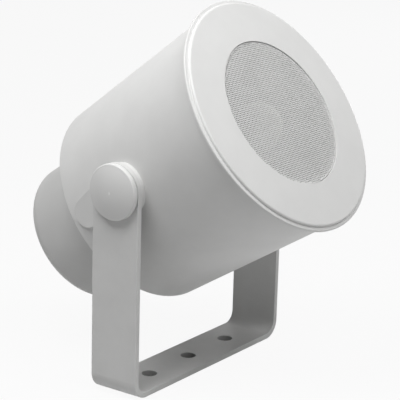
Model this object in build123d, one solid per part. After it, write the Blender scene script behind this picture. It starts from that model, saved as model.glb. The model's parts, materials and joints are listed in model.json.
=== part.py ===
from build123d import *
from math import atan2, cos, pi, radians, sin, sqrt
import os

# A sound projector loudspeaker: a tapered moulded housing with a front ring and a
# perforated grille, a smaller rear cap over the line transformer, and a steel U-bracket
# in which the housing tilts about two side bolts.
# Millimetres. The row frame has its origin under the middle of the bracket's base, +Z up,
# and the two side bolts lie along X. The head is drawn in its own frame, with the pivot at
# its origin, +Z forward along the loudspeaker's axis and +Y towards its top.

# General clearances
fit_gap = 0.05
running_gap = 0.08
moulding_gap = 0.15

# Pose of the head in its bracket
head_tilt = 35.0
pivot_height = 126.3

# U-bracket, bent from flat strip
strip_width = 33.4
strip_thickness = 3.5
bend_radius = 7.5
strip_edge_round = 0.4
base_hole_spacing = 40.3
base_hole_radius = 4.85
base_hole_count = 3

# Housing moulding
housing_wall = 3.0
housing_front_radius = 71.5
housing_rear_radius = 65.8
housing_front = 72.6
housing_rear = -48.9
housing_edge_round = 1.2

# Front ring, with the seat of the grille and of the driver
ring_overhang = 3.5
ring_lip_thickness = 2.0
ring_lip_width = 2.4
ring_lip_round = 0.6
ring_plate_height = 1.6
ring_plate_round = 1.1
ring_crown = 0.8
ring_wall = 3.0
ring_rib_count = 8
ring_rib_width = 1.8
ring_spigot_depth = 8.6
ring_spigot_wall = 2.6
baffle_thickness = 7.0
grille_rebate_radius = 46.4
grille_rebate_depth = 2.0
grille_ledge = 3.4

# Perforated grille
grille_thickness = 1.2
grille_margin = 0.4
grille_pitch = 5.2
grille_bar = 1.5

# Driver: frame, magnet and moving system
driver_flange_width = 9.7
driver_steel = 1.2
driver_depth = 28.0
driver_window_count = 6
driver_window_margin = 1.5
driver_spoke_width = 9.0
driver_screw_inset = 3.3
driver_screw_count = 4
driver_screw_cover = 1.5
driver_seat_margin = 1.6
driver_cone_inset = 1.0
driver_land = 0.5
gasket_thickness = 1.0
gasket_margin = 0.6
surround_room = 1.2
surround_width = 6.6
surround_lip = 3.6
surround_thickness = 0.6
cone_thickness = 0.6
cone_neck_length = 2.5
cone_land_share = 0.55
dust_cap_radius = 15.5
dust_cap_rise = 5.5
dust_cap_thickness = 0.6
coil_radius = 12.5
coil_former_wall = 0.25
coil_former_length = 20.0
coil_former_inset = 17.0
coil_former_stand = 0.5
coil_winding_wall = 0.7
coil_winding_length = 10.0
coil_gap = 0.4
pole_vent_radius = 3.0
spider_radius = 29.5
spider_shelf_height = 5.2
spider_landing = 4.5
spider_wave_count = 4
spider_wave_height = 0.9
spider_thickness = 0.5
spider_flat = 3.0
spider_collar = 1.5
tag_strip_length = 14.0
tag_strip_thickness = 1.2
tag_strip_depth = 4.0
tag_width = 2.2
tag_thickness = 0.6
top_plate_radius = 30.0
top_plate_thickness = 4.0
magnet_radius = 35.0
magnet_thickness = 12.0
magnet_bore_radius = 18.0
magnet_chamfer = 0.8
yoke_thickness = 5.0

# Rear cap, its seal, its screws and its cable entry
cap_radius = 45.9
cap_wall = 2.5
cap_rear = -105.9
cap_edge_round = 9.4
cap_spigot_height = 4.0
cap_spigot_wall = 1.7
cap_post_gap = 0.2
seal_thickness = 1.0
seal_inset = 0.2
cap_screw_circle_radius = 33.0
cap_screw_count = 3
cap_screw_well_radius = 3.7
cap_screw_well_wall = 1.4
cap_screw_floor = 4.0
cable_radius = 3.1
grommet_hole_radius = 6.0
grommet_flange_radius = 8.5
grommet_flange = 1.8
grommet_taper = 1.2
grommet_offset = -20.0

# Screws
screw_radius = 1.75
screw_head_radius = 3.3
screw_head_height = 2.2
screw_length = 10.0
screw_head_round = 0.88
screw_slot = 0.7
screw_slot_reach = 1.5
screw_hole_gap = 0.3
screw_pillar_radius = 4.2

# Line transformer and terminal block in the rear compartment
lamination_leg = 6.4
lamination_stack = 16.0
coil_build = 5.6
coil_build_margin = 0.5
coil_corner_round = 2.0
bobbin_wall = 0.8
bobbin_gap = 0.2
transformer_standoff = 8.0
frame_steel = 1.0
frame_foot = 9.0
frame_width = 16.0
terminal_ways = 3
terminal_pitch = 8.0
terminal_depth = 12.0
terminal_height = 13.0
terminal_offset = -27.0
terminal_corner_round = 1.0
terminal_screw_radius = 1.9
terminal_screw_depth = 1.2
terminal_well_depth = 4.0
terminal_entry_radius = 1.6
terminal_entry_depth = 6.0
terminal_slot_width = 1.0
terminal_slot_depth = 3.0
lead_radius = 0.9
lead_spacing = 3.6
lead_offset = -37.0
lead_hole_radius = 3.4

# Side pivots
boss_radius = 15.6
boss_height = 3.97
boss_wall = 3.0
pad_lift = 0.75
pad_reach = 35.0
pad_end_radius = 9.0
friction_washer_radius = 14.0
friction_washer_thickness = 0.4
insert_radius = 5.2
insert_length = 11.0
insert_groove_place = 4.5
insert_groove_width = 1.5
insert_groove_depth = 0.6
insert_sleeve_wall = 3.0
pivot_bolt_radius = 4.0
pivot_thread_radius = 3.0
pivot_thread_length = 9.5
pivot_head_radius = 6.0
pivot_head_height = 3.2
pivot_head_round = 1.2
pivot_socket_radius = 2.0
pivot_socket_share = 0.55
steel_washer_radius = 9.0
steel_washer_thickness = 1.2
cover_radius = 16.8
cover_lift = 0.8
cover_edge_height = 2.9
cover_dome = 2.6
cover_wall = 1.3
cover_clip_wall = 1.2
cover_clip_gap = 0.3
cover_edge_round = 1.2

# Places worked out from the sizes above
taper = (housing_front_radius - housing_rear_radius) / (housing_front - housing_rear)
pivot_side_radius = housing_rear_radius - taper * housing_rear
pad_face = pivot_side_radius - taper * pad_reach + pad_lift
boss_face = pivot_side_radius + boss_height
arm_inner = boss_face + running_gap + friction_washer_thickness
arm_outer = arm_inner + strip_thickness
ring_radius = housing_front_radius + ring_overhang
ring_lip_front = housing_front + ring_lip_thickness
ring_plate_radius = ring_radius - ring_lip_width
ring_plate_edge = ring_lip_front + ring_plate_height
ring_face = ring_plate_edge + ring_crown
grille_back = ring_face - grille_rebate_depth
grille_radius = grille_rebate_radius - grille_margin
grille_opening_radius = grille_rebate_radius - grille_ledge
surround_outer_radius = grille_opening_radius - surround_room
surround_inner_radius = surround_outer_radius - surround_width
driver_radius = surround_outer_radius + driver_flange_width
driver_screw_circle_radius = driver_radius - driver_screw_inset
driver_seat = ring_face - baffle_thickness
driver_face = driver_seat - gasket_thickness
driver_back = driver_face - driver_depth
housing_inner_rear = housing_rear + housing_wall
cap_inner_radius = cap_radius - cap_wall
cap_mouth = housing_rear - seal_thickness
cap_inner_rear = cap_rear + cap_wall
cap_post_face = housing_rear - cap_post_gap
coil_outer_radius = coil_radius + coil_former_wall + coil_winding_wall
coil_top = driver_face - coil_former_inset
coil_bottom = coil_top - coil_former_length
cone_neck_radius = coil_radius + coil_former_wall + fit_gap
cone_neck_height = coil_top - coil_former_stand
cone_land_radius = surround_inner_radius - surround_lip * cone_land_share
magnet_front = driver_back - top_plate_thickness
magnet_back = magnet_front - magnet_thickness
yoke_back = magnet_back - yoke_thickness
spider_shelf = driver_back + spider_shelf_height
spider_neck_radius = spider_radius - spider_landing
transformer_middle = housing_rear - transformer_standoff - lamination_stack / 2


def head_frame():
    """The head's own frame: pivot at its origin, +Z forward, +Y up across the face."""
    tilt = radians(head_tilt)
    forward = (0, -cos(tilt), sin(tilt))
    return Plane(origin=(0, 0, pivot_height), x_dir=(1, 0, 0), z_dir=forward).location


def housing_radius(z):
    """Outer radius of the tapered housing at a place along its axis."""
    return housing_rear_radius + taper * (z - housing_rear)


def turned(*corners):
    """A solid turned about Z from (radius, height) corners."""
    outline = Polyline(*corners, close=True)
    return revolve(make_face(Plane.XZ * outline), Axis.Z)


def disc(radius, low, high, inner=0.0, at=(0, 0)):
    """A disc or a ring along Z between two heights."""
    body = Cylinder(radius, high - low, align=(Align.CENTER, Align.CENTER, Align.MIN))
    if inner > 0:
        body -= Cylinder(inner, high - low, align=(Align.CENTER, Align.CENTER, Align.MIN))
    return Pos(at[0], at[1], low) * body


def block(size_x, size_y, low, high, at=(0, 0)):
    """A block centred on a point of the XY plane, between two heights."""
    body = Box(size_x, size_y, high - low, align=(Align.CENTER, Align.CENTER, Align.MIN))
    return Pos(at[0], at[1], low) * body


def across(radius, low, high, inner=0.0, side=1):
    """A disc or ring on the pivot's axis, from low to high on one side of the head."""
    return Rot(0, 90 * side, 0) * disc(radius, low, high, inner)


def around(count, radius, start=90.0):
    """Points spread evenly on a circle about the head's axis."""
    angles = [radians(start + 360.0 * i / count) for i in range(count)]
    return [(radius * cos(a), radius * sin(a)) for a in angles]


def dome_arc(radius, base, rise):
    """Arc of a ball centred on the axis, from its rim at (radius, base) up to its crown."""
    ball = (radius**2 + rise**2) / (2 * rise)
    half = atan2(radius, ball - rise) / 2
    centre = base + rise - ball
    middle = (ball * sin(half), centre + ball * cos(half))
    return ThreePointArc((radius, base), middle, (0, base + rise))


# Bracket
def make_bracket():
    """Flat strip bent into a U, with rounded arm ends, pivot holes and three base holes."""
    top = pivot_height + strip_width / 2
    outer = Pos(0, top / 2) * Rectangle(2 * arm_outer, top)
    inner = Pos(0, strip_thickness + top / 2) * Rectangle(2 * arm_inner, top)
    low_outer = outer.vertices().sort_by(Axis.Y)[:2]
    outer = fillet(low_outer, bend_radius + strip_thickness)
    low_inner = inner.vertices().sort_by(Axis.Y)[:2]
    inner = fillet(low_inner, bend_radius)
    section = outer - inner
    strip = extrude(Plane.XZ * section, strip_width / 2, both=True)

    side = Pos(0, pivot_height / 2) * Rectangle(strip_width, pivot_height)
    side += Pos(0, pivot_height) * Circle(strip_width / 2)
    strip &= extrude(Plane.YZ * side, 2 * arm_outer, both=True)

    flat_edges = strip.edges().filter_by(Axis.Y, reverse=True)
    strip = fillet(flat_edges, strip_edge_round)

    strip -= Pos(0, 0, pivot_height) * Rot(0, 90, 0) * Cylinder(
        pivot_bolt_radius + running_gap, 4 * arm_outer
    )
    for i in range(base_hole_count):
        x = (i - (base_hole_count - 1) / 2) * base_hole_spacing
        strip -= Pos(x, 0, 0) * Cylinder(base_hole_radius, 4 * strip_thickness)
    return strip


# Housing
def pad_outline():
    """Teardrop outline of the moulded pad behind a side boss, on the (y, z) plane."""
    step = boss_radius - pad_end_radius
    turn = atan2(step, sqrt(pad_reach**2 - step**2))
    right = []
    for radius, z in ((boss_radius, 0), (pad_end_radius, -pad_reach)):
        right.append((radius * cos(turn), z - radius * sin(turn)))
    left = [(-y, z) for y, z in reversed(right)]
    body = make_face(Polyline(*right, *left, close=True))
    return body + Circle(boss_radius) + Pos(0, -pad_reach) * Circle(pad_end_radius)


def on_side(sketch, low, high, side):
    """A sketch drawn on (y, z), extruded along X from low to high on one side."""
    plane = Plane(origin=(side * low, 0, 0), x_dir=(0, side, 0), z_dir=(side, 0, 0))
    if side < 0:
        sketch = mirror(sketch, Plane.YZ)
    return extrude(plane * sketch, high - low)


def make_barrel():
    """Tapered barrel, solid inside, with a rounded rear edge."""
    barrel = turned(
        (0, housing_rear),
        (housing_rear_radius, housing_rear),
        (housing_front_radius, housing_front),
        (0, housing_front),
    )
    circles = barrel.edges().filter_by(GeomType.CIRCLE)
    return fillet(circles.sort_by(Axis.Z)[0], housing_edge_round)


def make_housing():
    """Moulded barrel, hollow and closed behind, with side bosses, pads and screw pillars."""
    barrel = make_barrel()
    for side in (-1, 1):
        barrel += on_side(pad_outline(), 0, pad_face, side)
        barrel += across(boss_radius, 0, boss_face, side=side)

    hollow = turned(
        (0, housing_inner_rear),
        (housing_radius(housing_inner_rear) - housing_wall, housing_inner_rear),
        (housing_front_radius - housing_wall, housing_front),
        (0, housing_front),
    )
    body = barrel - hollow

    # Each boss is cored out from inside around a sleeve for the threaded insert
    sleeve_radius = insert_radius + insert_sleeve_wall
    sleeve_low = boss_face - insert_length - insert_sleeve_wall
    insert_low = boss_face - insert_length - fit_gap
    for side in (-1, 1):
        body -= across(boss_radius - boss_wall, sleeve_low, boss_face - boss_wall, sleeve_radius, side)
        body += across(sleeve_radius, sleeve_low, boss_face - boss_wall, side=side)
        body -= across(insert_radius + fit_gap, insert_low, boss_face + 1, side=side)

    # Rear wall: locating ring, screw pillars and the hole for the driver's leads
    locating_radius = cap_inner_radius - moulding_gap
    locating_inner = locating_radius - cap_spigot_wall
    body += disc(locating_radius, housing_rear - cap_spigot_height, housing_rear, locating_inner)
    pillar_top = housing_inner_rear + screw_length
    pillars = around(cap_screw_count, cap_screw_circle_radius) + transformer_screw_places()
    hole_top = pillar_top - housing_wall / 2
    for at in pillars:
        body += disc(screw_pillar_radius, housing_inner_rear, pillar_top, at=at)
        body -= disc(screw_radius + fit_gap, housing_rear - 1, hole_top, at=at)
    body -= disc(lead_hole_radius, housing_rear - 1, housing_inner_rear + 1, at=(0, lead_offset))
    return body


# Front ring
def ring_height(radius):
    """Height of the ring's face, a shallow cone that rises from its edge to the grille."""
    share = (ring_plate_radius - radius) / (ring_plate_radius - grille_rebate_radius)
    return ring_plate_edge + share * ring_crown


def ring_core(inner, outer):
    """Hollow behind the ring's face, between radial ribs, that leaves an even wall."""
    low = driver_seat - 1
    core = turned(
        (inner, low),
        (outer, low),
        (outer, ring_height(outer) - ring_wall),
        (inner, ring_height(inner) - ring_wall),
    )
    for i in range(ring_rib_count):
        rib = block(outer, ring_rib_width, low, ring_face, at=(outer, 0))
        core -= Rot(0, 0, 360.0 * i / ring_rib_count) * rib
    return core


def make_front_ring():
    """Moulded front ring: stepped edge, nearly flat face, grille rebate, baffle and rear spigot."""
    spigot_back = housing_front - ring_spigot_depth
    spigot_radius = housing_radius(spigot_back) - housing_wall - moulding_gap
    spigot_inner = spigot_radius - ring_spigot_wall
    body = turned(
        (grille_opening_radius, driver_seat),
        (spigot_inner, driver_seat),
        (spigot_inner, spigot_back),
        (spigot_radius, spigot_back),
        (spigot_radius, housing_front),
        (ring_radius, housing_front),
        (ring_radius, ring_lip_front),
        (ring_plate_radius, ring_lip_front),
        (ring_plate_radius, ring_plate_edge),
        (grille_rebate_radius, ring_face),
        (grille_rebate_radius, grille_back),
        (grille_opening_radius, grille_back),
    )
    circles = body.edges().filter_by(GeomType.CIRCLE)
    lip_edges = [e for e in circles if abs(e.radius - ring_radius) < fit_gap]
    body = fillet(lip_edges, ring_lip_round)
    circles = body.edges().filter_by(GeomType.CIRCLE)
    plate_edge = [
        e for e in circles
        if abs(e.radius - ring_plate_radius) < fit_gap and e.center().Z > ring_plate_edge - fit_gap
    ]
    body = fillet(plate_edge, ring_plate_round)
    body -= ring_core(driver_radius + ring_rib_width, spigot_inner)
    hole_top = driver_seat + baffle_thickness - driver_screw_cover - grille_rebate_depth
    for at in around(driver_screw_count, driver_screw_circle_radius, 45):
        body -= disc(screw_radius + fit_gap, driver_seat - 1, hole_top, at=at)
    return body


# Grille
def make_grille():
    """Flat disc punched with a triangular lattice of hexagonal holes."""
    hole_radius = (grille_pitch - grille_bar) / sqrt(3)
    reach = grille_opening_radius - grille_pitch / 2
    row_step = grille_pitch * sqrt(3) / 2
    rows = int(reach / row_step) + 1
    holes = []
    for row in range(-rows, rows + 1):
        y = row * row_step
        shift = grille_pitch / 2 if row % 2 else 0.0
        columns = int(reach / grille_pitch) + 1
        for column in range(-columns, columns + 1):
            x = column * grille_pitch + shift
            if x * x + y * y < reach * reach:
                hole = Pos(x, y) * RegularPolygon(hole_radius, 6, rotation=30)
                holes.append(hole.wire())
    sheet = Face(Circle(grille_radius).wire(), holes)
    return Pos(0, 0, grille_back) * extrude(sheet, grille_thickness, dir=(0, 0, 1))


# Driver
def make_driver_gasket():
    """Foam ring between the driver's frame and the baffle."""
    inner = surround_outer_radius + surround_lip + gasket_margin
    body = disc(driver_radius, driver_face, driver_seat, inner)
    for at in around(driver_screw_count, driver_screw_circle_radius, 45):
        body -= disc(screw_radius + screw_hole_gap, driver_face - 1, driver_seat + 1, at=at)
    return body


def make_driver_basket():
    """Pressed steel driver frame: flange, spoked cone, spider shelf and magnet seat."""
    steel = driver_steel
    neck = spider_neck_radius
    seat_bore = coil_outer_radius + driver_seat_margin
    body = turned(
        (driver_radius, driver_face - steel),
        (surround_outer_radius + driver_cone_inset, driver_face - steel),
        (spider_radius + steel, spider_shelf - steel),
        (neck + steel, spider_shelf - steel),
        (neck + steel, driver_back),
        (seat_bore, driver_back),
        (seat_bore, driver_back + steel),
        (neck, driver_back + steel),
        (neck, spider_shelf),
        (spider_radius + driver_land, spider_shelf),
        (surround_outer_radius, driver_face),
        (driver_radius, driver_face),
    )
    window_low = spider_shelf + driver_window_margin
    window_high = driver_face - 2 * steel - driver_window_margin
    window_ring = disc(driver_radius, window_low, window_high, spider_neck_radius)
    spoke_length = driver_radius + steel
    spoke = block(spoke_length, driver_spoke_width, window_low - 1, window_high + 1)
    for i in range(driver_window_count):
        turn = Rot(0, 0, 360.0 * i / driver_window_count)
        window_ring -= turn * Pos(spoke_length / 2, 0, 0) * spoke
    body -= window_ring
    for at in around(driver_screw_count, driver_screw_circle_radius, 45):
        body -= disc(screw_radius + screw_hole_gap, driver_face - steel - 1, driver_face + 1, at=at)
    return body


def make_screw(low, length, at):
    """A pan-head screw pointing forward, with its head's underside at a height."""
    shank = disc(screw_radius, low, low + length, at=at)
    head = disc(screw_head_radius, low - screw_head_height, low, at=at)
    crown = head.edges().filter_by(GeomType.CIRCLE).sort_by(Axis.Z)[0]
    head = fillet(crown, screw_head_round)
    slot = 2 * screw_slot_reach
    cut_low = low - screw_head_height - 1
    cut_high = low - screw_head_height / 2
    head -= block(slot, screw_slot, cut_low, cut_high, at=at)
    head -= block(screw_slot, slot, cut_low, cut_high, at=at)
    return head + shank


def make_driver_screws():
    """The screws that hold the driver to the baffle, heads towards the rear."""
    low = driver_face - driver_steel
    grip = baffle_thickness - grille_rebate_depth - driver_screw_cover
    length = driver_steel + gasket_thickness + grip - moulding_gap
    places = around(driver_screw_count, driver_screw_circle_radius, 45)
    return [make_screw(low, length, at) for at in places]


def make_surround():
    """Half-roll edge between the cone and the driver's frame."""
    middle = (surround_outer_radius + surround_inner_radius) / 2
    roll = (surround_outer_radius - surround_inner_radius) / 2
    thick = surround_thickness
    base = driver_face
    outer = surround_outer_radius + surround_lip
    inner = cone_land_radius + 2 * fit_gap
    roll_outer = roll + thick / 2
    roll_inner = roll - thick / 2
    top = base + thick
    reach = sqrt(roll_outer**2 - thick**2)
    low_ends = ((middle - roll_inner, base), (middle + roll_inner, base))
    top_ends = ((middle + reach, top), (middle - reach, top))
    section = Line((inner, base), low_ends[0])
    section += ThreePointArc(low_ends[0], (middle, base + roll_inner), low_ends[1])
    section += Polyline(low_ends[1], (outer, base), (outer, top), top_ends[0])
    section += ThreePointArc(top_ends[0], (middle, base + roll_outer), top_ends[1])
    section += Polyline(top_ends[1], (inner, top), (inner, base))
    return revolve(make_face(Plane.XZ * section), Axis.Z)


def cone_front(radius):
    """Height of the cone's front face at a radius."""
    share = (radius - cone_neck_radius) / (cone_land_radius - cone_neck_radius)
    return cone_neck_height + share * (driver_face - fit_gap - cone_neck_height)


def make_cone():
    """Paper cone from the voice coil to the surround, with a flat land at its edge."""
    thick = cone_thickness
    fall = (cone_front(cone_land_radius) - cone_neck_height) / (cone_land_radius - cone_neck_radius)
    slant = thick * sqrt(1 + fall**2)
    edge = surround_inner_radius - fit_gap
    return turned(
        (cone_neck_radius, cone_neck_height - cone_neck_length),
        (cone_neck_radius + thick, cone_neck_height - cone_neck_length),
        (cone_neck_radius + thick, cone_front(cone_neck_radius + thick) - slant),
        (cone_land_radius, cone_front(cone_land_radius) - slant),
        (edge, driver_face - fit_gap - thick),
        (edge, driver_face - fit_gap),
        (cone_land_radius, driver_face - fit_gap),
        (cone_neck_radius, cone_neck_height),
    )


def make_dust_cap():
    """Domed cap over the voice coil, seated on the cone."""
    base = cone_front(dust_cap_radius) + fit_gap
    shapes = []
    for thick in (0, dust_cap_thickness):
        radius = dust_cap_radius - thick
        rise = dust_cap_rise - thick
        outline = dome_arc(radius, base, rise) + Line((0, base + rise), (0, base))
        outline += Line((0, base), (radius, base))
        shapes.append(revolve(make_face(Plane.XZ * outline), Axis.Z))
    return shapes[0] - shapes[1]


def make_coil_former():
    """Thin tube that carries the voice coil winding."""
    return disc(coil_radius + coil_former_wall, coil_bottom, coil_top, coil_radius)


def make_coil_winding():
    """Voice coil winding, centred in the magnetic gap."""
    middle = driver_back - top_plate_thickness / 2
    low = middle - coil_winding_length / 2
    inner = coil_radius + coil_former_wall
    return disc(inner + coil_winding_wall, low, low + coil_winding_length, inner)


def make_spider():
    """Corrugated disc that centres the voice coil."""
    inner = coil_radius + coil_former_wall + fit_gap
    outer = spider_radius - spider_thickness
    steps = 4 * spider_wave_count
    base = spider_shelf + fit_gap
    span = outer - spider_flat - inner - spider_collar
    lower = [(inner, base + spider_wave_height)]
    for i in range(steps + 1):
        r = inner + spider_collar + span * i / steps
        lift = spider_wave_height * sin(2 * pi * spider_wave_count * i / steps)
        lower.append((r, base + spider_wave_height + lift))
    lower += [(outer - spider_flat + spider_thickness, base), (outer, base)]
    upper = [(r, z + spider_thickness) for r, z in reversed(lower)]
    return turned(*lower, *upper)


def make_top_plate():
    """Front plate of the magnet."""
    bore = coil_outer_radius + coil_gap
    return disc(top_plate_radius, magnet_front, driver_back, bore)


def make_magnet():
    """Ferrite ring."""
    body = disc(magnet_radius, magnet_back, magnet_front, magnet_bore_radius)
    circles = body.edges().filter_by(GeomType.CIRCLE)
    rims = [e for e in circles if abs(e.radius - magnet_radius) < fit_gap]
    return chamfer(rims, magnet_chamfer)


def make_yoke():
    """Back plate and pole, with a vent through the pole."""
    pole_radius = coil_radius - coil_gap
    plate = disc(top_plate_radius, yoke_back, magnet_back)
    pole = disc(pole_radius, magnet_back, driver_back)
    return plate + pole - disc(pole_vent_radius, yoke_back - 1, driver_back + 1)


def make_driver_terminals():
    """Tag strip riveted to the driver's shelf, with two solder tags."""
    inner = spider_neck_radius + driver_steel + 2 * moulding_gap
    back = spider_shelf - driver_steel
    low = back - tag_strip_thickness
    strip = block(tag_strip_length, tag_strip_depth, low, back, at=(0, -inner - tag_strip_depth / 2))
    reach = abs(lead_offset) + 1.2 * lead_radius - inner
    for side in (-1, 1):
        x = side * lead_spacing / 2
        strip += block(tag_width, reach, low - tag_thickness, low, at=(x, -inner - reach / 2))
    return strip


# Rear cap and its fittings
def make_rear_cap():
    """Deep moulded cup with rounded rear edge, screw wells and a cable hole."""
    cup = disc(cap_radius, cap_rear, cap_mouth)
    rear_edge = cup.edges().filter_by(GeomType.CIRCLE).sort_by(Axis.Z)[0]
    cup = fillet(rear_edge, cap_edge_round)
    hollow = disc(cap_inner_radius, cap_inner_rear, cap_mouth)
    rear_edge = hollow.edges().filter_by(GeomType.CIRCLE).sort_by(Axis.Z)[0]
    body = cup - fillet(rear_edge, cap_edge_round - cap_wall)
    outer = cap_screw_well_radius + cap_screw_well_wall
    for at in around(cap_screw_count, cap_screw_circle_radius):
        body += disc(outer, cap_inner_rear - cap_wall / 2, cap_post_face, at=at)
        body -= disc(cap_screw_well_radius, cap_rear - 1, cap_post_face - cap_screw_floor, at=at)
        body -= disc(screw_radius + screw_hole_gap, cap_rear, cap_post_face + 1, at=at)
    body -= disc(grommet_hole_radius, cap_rear - 1, cap_inner_rear + 1, at=(0, grommet_offset))
    return body


def make_rear_cap_seal():
    """Flat rubber ring between the rear cap's rim and the housing."""
    return disc(cap_radius - seal_inset, cap_mouth, housing_rear, cap_inner_radius)


def make_rear_cap_screws():
    """Screws at the bottom of the rear cap's wells."""
    low = cap_post_face - cap_screw_floor
    length = cap_screw_floor + screw_length
    places = around(cap_screw_count, cap_screw_circle_radius)
    return [make_screw(low, length, at) for at in places]


def make_cable_grommet():
    """Rubber grommet for the loudspeaker cable, with a flange on each side of the wall."""
    inside = cap_inner_rear + grommet_flange
    outside = cap_rear - grommet_flange
    body = turned(
        (cable_radius, outside),
        (grommet_flange_radius - grommet_taper, outside),
        (grommet_flange_radius, cap_rear),
        (grommet_hole_radius - fit_gap, cap_rear),
        (grommet_hole_radius - fit_gap, cap_inner_rear),
        (grommet_flange_radius, cap_inner_rear),
        (grommet_flange_radius - grommet_taper, inside),
        (cable_radius, inside),
    )
    return Pos(0, grommet_offset, 0) * body


# Transformer
def transformer_screw_places():
    """Places of the transformer's two screws on the rear wall."""
    x = 3 * lamination_leg + frame_steel + frame_foot / 2
    return [(-x, 0), (x, 0)]


def make_transformer_core():
    """Stack of E and I laminations with two windows."""
    leg = lamination_leg
    low = transformer_middle - lamination_stack / 2
    high = transformer_middle + lamination_stack / 2
    body = block(6 * leg, 5 * leg, low, high)
    for side in (-1, 1):
        body -= block(leg, 3 * leg, low - 1, high + 1, at=(side * 1.5 * leg, 0))
    return body


def make_transformer_bobbin():
    """Moulded bobbin on the middle leg."""
    leg = lamination_leg
    clear = bobbin_gap
    tube_x = 2 * leg + 2 * clear + 2 * bobbin_wall
    tube_z = lamination_stack + 2 * clear + 2 * bobbin_wall
    length = 3 * leg - 2 * clear
    flange_x = 4 * leg - 2 * clear
    flange_z = tube_z + 2 * coil_build
    middle = transformer_middle
    body = block(tube_x, length, middle - tube_z / 2, middle + tube_z / 2)
    for side in (-1, 1):
        y = side * (length - bobbin_wall) / 2
        body += block(flange_x, bobbin_wall, middle - flange_z / 2, middle + flange_z / 2, at=(0, y))
    hole_x = 2 * leg + 2 * clear
    hole_z = lamination_stack + 2 * clear
    return body - block(hole_x, length + 1, middle - hole_z / 2, middle + hole_z / 2)


def make_transformer_winding():
    """Taped winding round the bobbin."""
    leg = lamination_leg
    clear = bobbin_gap
    tube_x = 2 * leg + 2 * clear + 2 * bobbin_wall
    tube_z = lamination_stack + 2 * clear + 2 * bobbin_wall
    length = 3 * leg - 2 * clear - 2 * bobbin_wall
    middle = transformer_middle
    outer_x = 4 * leg - 4 * clear
    outer_z = tube_z + 2 * (coil_build - coil_build_margin)
    body = block(outer_x, length, middle - outer_z / 2, middle + outer_z / 2)
    body = fillet(body.edges().filter_by(Axis.Y), coil_corner_round)
    return body - block(tube_x, length + 1, middle - tube_z / 2, middle + tube_z / 2)


def make_transformer_frame():
    """Steel channel over the core, with a window for the winding and two feet."""
    steel = frame_steel
    half = 3 * lamination_leg
    back = transformer_middle - lamination_stack / 2
    foot = housing_rear
    length = 5 * lamination_leg
    body = block(2 * (half + steel), length, back - steel, foot)
    body -= block(2 * half, length + 1, back, foot + 1)
    for side in (-1, 1):
        x = side * (half + steel + frame_foot / 2)
        body += block(frame_foot, frame_width, foot - steel, foot, at=(x, 0))
    window = 3 * lamination_leg + 2 * bobbin_gap
    body -= block(4 * lamination_leg, window, back - steel - 1, back + 1)
    for at in transformer_screw_places():
        body -= disc(screw_radius + screw_hole_gap, foot - steel - 1, foot + 1, at=at)
    return body


def make_transformer_screws():
    """Screws through the frame's feet into the rear wall's pillars."""
    low = housing_rear - frame_steel
    length = frame_steel + screw_length
    return [make_screw(low, length, at) for at in transformer_screw_places()]


def terminal_places(count):
    """Evenly spaced places along the terminal block."""
    return [(i - (count - 1) / 2) * terminal_pitch for i in range(count)]


def make_terminal_block():
    """Screw terminal block on the rear wall."""
    length = terminal_ways * terminal_pitch
    low = housing_rear - terminal_height
    body = block(length, terminal_depth, low, housing_rear, at=(0, terminal_offset))
    body = fillet(body.edges().filter_by(Axis.Z), terminal_corner_round)
    well_radius = terminal_screw_radius + screw_hole_gap
    entry = Rot(90, 0, 0) * Cylinder(terminal_entry_radius, terminal_depth + 2)
    slot = block(terminal_slot_width, terminal_depth + 2, low - 1, low + terminal_slot_depth)
    for x in terminal_places(terminal_ways):
        at = (x, terminal_offset)
        body -= disc(well_radius, low - 1, low + terminal_well_depth, at=at)
        body -= Pos(x, terminal_offset, low + terminal_entry_depth) * entry
    for x in terminal_places(terminal_ways - 1):
        body -= Pos(x, terminal_offset, 0) * slot
    return body


def make_terminal_screws():
    """Clamp screws of the terminal block."""
    top = housing_rear - terminal_height + terminal_screw_depth
    bottom = housing_rear - terminal_height + terminal_well_depth
    head = disc(terminal_screw_radius, top, bottom)
    head -= block(2 * terminal_screw_radius + 1, screw_slot, top - 1, top + screw_slot)
    return [Pos(x, terminal_offset, 0) * head for x in terminal_places(terminal_ways)]


def make_driver_leads():
    """Two insulated leads from the driver's tags, through the rear wall to the terminals."""
    start = spider_shelf - driver_steel - tag_strip_thickness - tag_thickness
    entry = housing_rear - terminal_height + terminal_entry_depth
    end_y = terminal_offset - terminal_depth / 2
    leads = []
    for side in (-1, 1):
        x = side * lead_spacing / 2
        bend = 0.45 * abs(lead_offset - end_y)
        points = [(x, lead_offset, start), (x, lead_offset, entry), (x, end_y, entry)]
        path = FilletPolyline(*points, radius=bend)
        section = Plane(origin=points[0], z_dir=(0, 0, -1)) * Circle(lead_radius)
        leads.append(sweep(section, path))
    return leads


# Side pivots
def make_pivot_insert(side):
    """Brass threaded insert moulded into the housing's boss."""
    low = boss_face - insert_length
    bore = pivot_thread_radius + fit_gap
    body = across(insert_radius, low, boss_face, bore, side)
    groove_low = low + insert_groove_place
    groove_high = groove_low + insert_groove_width
    groove_floor = insert_radius - insert_groove_depth
    return body - across(insert_radius + 1, groove_low, groove_high, groove_floor, side)


def make_pivot_bolt(side):
    """Shoulder bolt: the plain shoulder turns in the arm, the thread sits in the insert."""
    head_low = arm_outer + running_gap + steel_washer_thickness
    head_high = head_low + pivot_head_height
    thread_low = boss_face - pivot_thread_length
    thread = across(pivot_thread_radius, thread_low, boss_face + fit_gap, side=side)
    shoulder = across(pivot_bolt_radius, boss_face, head_low, side=side)
    head = across(pivot_head_radius, head_low, head_high, side=side)
    crown = head.edges().filter_by(GeomType.CIRCLE).sort_by(Axis.X)[-1 if side > 0 else 0]
    head = fillet(crown, pivot_head_round)
    hexagon = RegularPolygon(pivot_socket_radius, 6)
    socket_low = head_high - pivot_head_height * pivot_socket_share
    return thread + shoulder + head - on_side(hexagon, socket_low, head_high + 1, side)


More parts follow.
